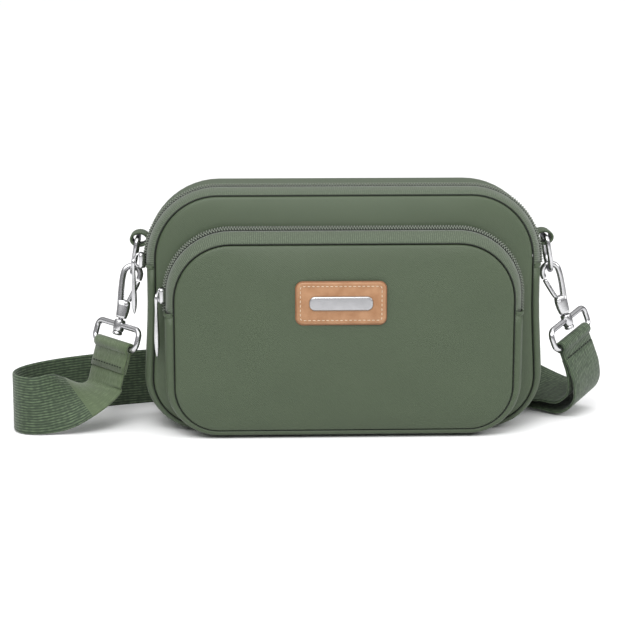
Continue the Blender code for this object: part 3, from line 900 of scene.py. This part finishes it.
def build_hook(side, ring, down, sign):
    """The snap hook's wire loop, flat knuckle with its rivet, swivel stud and gate."""
    across = (BACK - down * down.y).normalized()
    out = across.cross(down).normalized() * -sign

    def at(u, v):
        return ring + down * v + out * u

    spine = [(at(0.0016, 0.0202), 0.0021), (at(0.0026, 0.0165), 0.0019), (at(0.0037, 0.0110), 0.0017)]
    spine.append((at(0.0045, 0.0050), 0.00165))
    spine += [(at(u, 0.0012 + v), 0.00165) for u, v in arc((0, 0), 0.0046, 0, -180, 8)]
    spine += [(at(-0.0045, 0.0030), 0.0016), (at(-0.0044, 0.0036), 0.0012)]
    points, radii = smooth_path(spine, 4)
    wire = tube(f"{side}_hook_wire", points, radii, STEEL, 16, across)
    rings = []
    for v, wide, thick, shift in KNUCKLE:
        section = []
        for a in round_angles(20):
            flat_u = squared(cos(a), 0.6) * wide
            flat_w = squared(sin(a), 0.6) * thick
            section.append(at(shift + flat_u, v) + across * flat_w)
        rings.append(section)
    knuckle = grid(f"{side}_knuckle", rings, STEEL, closed_u=True, caps=True, flip=sign > 0)
    stud = tube(f"{side}_stud", [at(0, v) for v, _ in STUD], [r for _, r in STUD], STEEL, 18, across)
    pin = [at(-0.0012, 0.0182) + across * w for w, _ in RIVET]
    rivet = tube(f"{side}_rivet", pin, [r for _, r in RIVET], STEEL, 14, down)
    hook = join(f"{side}_hook_piece", [wire, knuckle, stud, rivet])
    done(hook, "steel", f"{side}_snap_hook", body=f"{side}_hook")
    gate = [(at(-0.0018, 0.0162), 0.0012), (at(-0.0026, 0.0135), 0.00135), (at(-0.0036, 0.0090), 0.00135)]
    gate += [(at(-0.0044, 0.0052), 0.0013), (at(-0.0045, 0.0044), 0.0009)]
    points, radii = smooth_path(gate, 4)
    made = tube(f"{side}_gate_piece", points, radii, STEEL, 14, across)
    done(made, "steel", f"{side}_hook_gate", body=f"{side}_gate")


COLLAR = (
    (-0.0030, 0.0022), (-0.0027, 0.0029), (-0.0020, 0.0031), (0.0028, 0.0031),
    (0.0036, 0.0028), (0.0040, 0.0020),
)


def build_eye(side, ring, down, row):
    """The strap eye's bent wire with its swivel collar."""
    across = down.cross(row).normalized()
    top, low, r = RING_TO_EYE, RING_TO_EYE + EYE_DROP, EYE_CORNER
    corners = ((1, top + r, -90), (1, low - r, 0), (-1, low - r, 90), (-1, top + r, 180))
    path = []
    for sign, v, turn in corners:
        path += arc((sign * (EYE_HALF - r), v), r, turn, turn + 90, 8)
    points = [ring + row * u + down * v for u, v in path]
    wire = tube(f"{side}_eye_wire", points, EYE_WIRE, STEEL, 16, across, cyclic=True)
    places = [ring + down * (top + v) for v, _ in COLLAR]
    outer = tube(f"{side}_collar", places, [r for _, r in COLLAR], STEEL, 20, across)
    done(join(f"{side}_eye_piece", [wire, outer]), "steel", f"{side}_strap_eye")


# The strap


def smooth_route(route, samples):
    """Points and width directions on a smooth curve through the route's points, its two ends straight."""
    places = [Vector(p[:3]) for p in route]
    rows = [Vector(p[3:]).normalized() for p in route]
    out = []
    for i in range(len(places) - 1):
        pick = [max(i - 1, 0), i, i + 1, min(i + 2, len(places) - 1)]
        straight = i in (0, len(places) - 2)
        for k in range(samples):
            t = k / samples
            pair = []
            for values in (places, rows):
                a, b, c, d = (values[n] for n in pick)
                pair.append(b.lerp(c, t) if straight else catmull(a, b, c, d, t))
            out.append(pair)
    out.append([places[-1], rows[-1]])
    return out


def frames(pairs):
    """(point, width direction, face normal) along a smoothed route, each square to the route."""
    made = []
    for i, (point, row) in enumerate(pairs):
        along = (pairs[min(i + 1, len(pairs) - 1)][0] - pairs[max(i - 1, 0)][0]).normalized()
        row = (row - along * row.dot(along)).normalized()
        made.append((point, row, along.cross(row)))
    return made


def on_edge(points, lift=0.0):
    """Route points of a stretch that stands on its edge on the ground."""
    return [(x, y, WEB_Z + lift, 0, 0, -1) for x, y in points]


def left_route(start, down, row):
    """From the left tab down to the ground, then on edge round a loop to the back."""
    first = [
        (*start, *row),
        (*(start + down * STRAIGHT), *row),
        (-0.1390, -0.0015, 0.0195, 0.64, -0.70, -0.20),
        (-0.1480, -0.0090, 0.0183, 0.52, -0.60, -0.60),
        (-0.1580, -0.0155, 0.0172, 0.22, -0.26, -0.94),
    ]
    loop = [(-0.1685, -0.0193), (-0.1775, -0.0158), (-0.1822, -0.0055), (-0.1795, 0.0085), (-0.1680, 0.0230)]
    back = [(-0.1500, 0.0360), (-0.1270, 0.0465), (-0.1000, 0.0555), (-0.0700, 0.0650), (-0.0350, 0.0710)]
    return first + on_edge(loop + back)


def folded_route():
    """The spare length in three passes behind the bag."""
    far = [(0.0000, 0.0725), (0.0300, 0.0725), (0.0600, 0.0725), (0.0690, 0.0703), (0.0725, 0.0647)]
    middle = [(0.0690, 0.0591), (0.0600, 0.0569), (0.0300, 0.0569), (0.0000, 0.0569), (-0.0350, 0.0569)]
    near = [(-0.0480, 0.0569), (-0.0570, 0.0547), (-0.0605, 0.0493), (-0.0570, 0.0440), (-0.0480, 0.0418)]
    return on_edge([*far, *middle, *near, (-0.0150, 0.0420), (0.0100, 0.0425)])


def right_route(end, down, row):
    """Over the adjuster's bar, then along the ground and up to the right tab."""
    x, y = ADJUSTER
    over = [(x - ADJUSTER_HALF, y - BAR_STEP), (x, y + BAR_STEP), (x + ADJUSTER_HALF, y - BAR_STEP)]
    low = [(0.0670, 0.0428), (0.0775, 0.0480)]
    turn = [
        (0.0885, 0.0515, 0.0157, -0.14, -0.28, -0.95),
        (0.1005, 0.0495, 0.0134, -0.32, -0.55, -0.77),
        (0.1120, 0.0435, 0.0092, -0.48, -0.72, -0.50),
        (0.1235, 0.0350, 0.0060, -0.58, -0.77, -0.28),
    ]
    rise = [
        (0.1327, 0.0259, 0.0051, *row),
        (0.1380, 0.0207, 0.0092, *row),
        (0.1403, 0.0169, 0.0165, *row),
        (*(end + down * STRAIGHT), *row),
        (*end, *row),
    ]
    return on_edge(over, ADJUSTER_LIFT) + on_edge(low) + turn + rise


def ribbon(name, course, finish, smooth_rings=0):
    """Flat webbing with rounded selvedges; its first rings can show the smoother weave."""
    rings = []
    section = []
    for u in (1.0, 0.985, 0.94, 0.5, 0.0, -0.5, -0.94, -0.985):
        section.append((u, 0.5 if abs(u) < 0.95 else 0.36 if abs(u) < 0.99 else 0.0))
    section += [(-u, -t) for u, t in section]
    for point, row, normal in course:
        rings.append([point + row * (u * WEB_WIDTH / 2) + normal * (t * WEB_THICK) for u, t in section])
    made = grid(name, rings, finish, closed_u=True, caps=True)
    made.data.materials.append(SMOOTH_WEB)
    for polygon in made.data.polygons[: smooth_rings * len(section)]:
        polygon.material_index = 1
    return made


def ring_round(radius, start, end):
    """(down, out) points round the eye's bar, between two angles in degrees."""
    angles = [radians(start + (end - start) * k / 24) for k in range(25)]
    return [(radius * cos(a), radius * sin(a)) for a in angles]


def tab(name, centre, down, row, length, finish):
    """Webbing folded round the eye's bar and sewn to itself."""
    normal = down.cross(row).normalized()
    outer_r = EYE_WIRE + 0.0004 + WEB_THICK
    start = degrees(asin(WEB_THICK / outer_r))
    outside = [(length, WEB_THICK), (length * 0.6, WEB_THICK * 1.02)]
    outside += ring_round(outer_r, start, 360 - start)
    outside += [(length * 0.6, -WEB_THICK * 1.02), (length, -WEB_THICK)]
    inside = [(length * 0.98, 0.0001), (length * 0.6, 0.0001)]
    inside += ring_round(EYE_WIRE + 0.0003, 6, 354)
    inside += [(length * 0.6, -0.0001), (length * 0.98, -0.0001)]
    rings = []
    for (vo, no), (vi, ni) in zip(outside, inside):
        ring = []
        for u in (-0.5, -0.48, -0.25, 0.0, 0.25, 0.48, 0.5):
            share = 0.85 if abs(u) == 0.5 else 1.0
            v, n = vi + (vo - vi) * share, ni + (no - ni) * share
            ring.append(centre + down * v + normal * n + row * (u * WEB_WIDTH))
        for u in (0.5, 0.25, 0.0, -0.25, -0.5):
            ring.append(centre + down * vi + normal * ni + row * (u * WEB_WIDTH))
        rings.append(ring)
    return grid(name, rings, finish, closed_u=True, closed_v=True)


TAB_LAP = {"left": 0.002, "right": 0.0035}
SMOOTH_SPANS = 3.1


def build_strap(hang_points):
    """The folded tabs with their stitches, the strap, and the doubled end past the adjuster."""
    tails = {}
    for side, length in TAB.items():
        _, _, ring, down, row, _ = hang_points[side]
        centre = ring + down * (RING_TO_EYE + EYE_DROP)
        finish = SMOOTH_WEB if side == "left" else WEBBING
        sleeve = tab(f"{side}_tab_sleeve", centre, down, row, length, finish)
        done(sleeve, "webbing", f"{side}_strap_tab")
        tails[side] = centre + down * (length + SEAM_GAP)
        face = down.cross(row)
        for end, flip in (("front", 1), ("rear", -1)):
            start = centre + down * (length - 0.0030) + face * (flip * (WEB_THICK + 0.0001))
            points = [start + row * (u / 10 * WEB_WIDTH / 2) for u in range(-9, 10)]
            stitches = dashes(f"{side}_tab_stitch_{end}", points, 0.0017, 0.0026, 0.00036, DARK)
            done(stitches, "webbing")
    _, _, _, down, row, _ = hang_points["right"]
    doubled = right_route(tails["right"] - down.cross(row) * LAYER_STEP, down, row)
    _, _, _, left_down, left_row, _ = hang_points["left"]
    route = left_route(tails["left"], left_down, left_row) + folded_route() + doubled
    course = frames(smooth_route(route, STRAP_SAMPLES))
    root = (course[0][0] - left_down * TAB_LAP["left"], *course[0][1:])
    lap = down * TAB_LAP["right"]
    tip = (course[-1][0] - lap, *course[-1][1:])
    strap = ribbon("strap_webbing", [root, *course, tip], WEBBING, int(SMOOTH_SPANS * STRAP_SAMPLES))
    done(strap, "webbing", "strap")
    ends = frames(smooth_route(doubled, STRAP_SAMPLES))[STRAP_SAMPLES:]
    last = len(ends) - 1
    layer = []
    for i, (point, width, normal) in enumerate(ends):
        wrap = BAR_STEP * max(0, 1 - i / STRAP_SAMPLES)
        apart = 2 * LAYER_STEP + wrap + LAYER_BULGE * sin(pi * (i / last) ** 2) ** 2
        layer.append((point - normal * apart, width, normal))
    under = (layer[-1][0] - lap, *layer[-1][1:])
    second = ribbon("strap_second_layer", [*layer, under], WEBBING)
    done(second, "webbing", "strap_doubled_end")
    return strap, course


FRAME_HEIGHT = 0.0374
FRAME_CORNER = 0.0016


def build_adjuster():
    """The slide adjuster: a rounded frame and its middle bar."""
    x, y = ADJUSTER
    half, high, low = ADJUSTER_HALF + 0.0009, FRAME_HEIGHT - 0.0011, 0.0011
    path = []
    for px, pz, turn in ((half, high, 0), (-half, high, 90), (-half, low, 180), (half, low, 270)):
        cx = px - copysign(FRAME_CORNER, px)
        cz = pz - (FRAME_CORNER if turn < 180 else -FRAME_CORNER)
        path += [(a, y, b) for a, b in arc((x + cx, cz), FRAME_CORNER, turn, turn + 90, 6)]
    wire = tube("adjuster_frame", path, 0.00105, STEEL, 12, BACK, cyclic=True)
    places = [(x, y, 0.0012), (x, y, FRAME_HEIGHT / 2), (x, y, FRAME_HEIGHT - 0.0012)]
    bar = tube("adjuster_bar", places, 0.00095, STEEL, 12, BACK)
    done(join("adjuster_piece", [wire, bar]), "steel", "slide_adjuster")


# The stage

FAR = 30.0
SKY = ((0.30, 0.30, 0.31, 1), (0.42, 0.42, 0.43, 1), (0.95, 0.95, 0.95, 1), (1.0, 1.0, 1.0, 1))


def build_stage():
    """A plain pale floor, an even sky and three soft lamps."""
    mesh = bpy.data.meshes.new("floor")
    mesh.from_pydata([(-FAR, -FAR, 0), (FAR, -FAR, 0), (FAR, FAR, 0), (-FAR, FAR, 0)], [], [(0, 1, 2, 3)])
    floor = bpy.data.objects.new("floor", mesh)
    floor.location.z = -0.0002
    bpy.context.scene.collection.objects.link(floor)
    finish, bsdf, _, _ = shader("pale_floor", 0.9)
    bsdf.inputs["Base Color"].default_value = (0.86, 0.86, 0.865, 1)
    bsdf.inputs["Specular IOR Level"].default_value = 0.1
    mesh.materials.append(finish)
    world = bpy.data.worlds.new("soft_studio")
    bpy.context.scene.world = world
    world.use_nodes = True
    tree = world.node_tree
    background = tree.nodes["Background"]
    place = tree.nodes.new("ShaderNodeTexCoord")
    split = tree.nodes.new("ShaderNodeSeparateXYZ")
    fade = tree.nodes.new("ShaderNodeValToRGB")
    tree.links.new(place.outputs["Generated"], split.inputs["Vector"])
    tree.links.new(split.outputs["Z"], fade.inputs["Fac"])
    tree.links.new(fade.outputs["Color"], background.inputs["Color"])
    steps = fade.color_ramp.elements
    steps[0].color = SKY[0]
    steps[1].color = SKY[3]
    steps.new(0.25).color = SKY[1]
    steps.new(0.55).color = SKY[2]
    background.inputs["Strength"].default_value = 0.80
    lamps = (
        ("SUN", (-0.1, -0.35, 1.0), 1.7, 0, 90),
        ("AREA", (-0.25, -0.80, 1.00), 9.5, 0.7, 0),
        ("AREA", (0.85, -0.35, 0.55), 2.5, 0.3, 0),
    )
    for k, (kind, spot, power, size, angle) in enumerate(lamps):
        data = bpy.data.lights.new(f"lamp_{k}", kind)
        data.energy = power
        if kind == "AREA":
            data.size = size
        else:
            data.angle = radians(angle)
        lamp = bpy.data.objects.new(f"lamp_{k}", data)
        lamp.location = spot
        lamp.rotation_euler = (Vector((0, 0, 0.06)) - Vector(spot)).to_track_quat("-Z", "Y").to_euler()
        bpy.context.scene.collection.objects.link(lamp)
    bpy.context.scene.view_settings.view_transform = "Standard"


def build_camera():
    data = bpy.data.cameras.new("camera")
    data.lens = LENS
    data.sensor_width = 36
    camera = bpy.data.objects.new("camera", data)
    level = cos(ELEVATION)
    away = Vector((sin(AZIMUTH) * level, -cos(AZIMUTH) * level, sin(ELEVATION)))
    camera.location = AIM + away * DISTANCE
    camera.rotation_euler = (-away).to_track_quat("-Z", "Y").to_euler()
    bpy.context.scene.collection.objects.link(camera)
    bpy.context.scene.camera = camera


build_camera()
build_stage()
hang_points = hangers()
strap, course = build_strap(hang_points)
build_adjuster()
build_bag()
build_patch()
build_pulls()
build_hardware(hang_points)
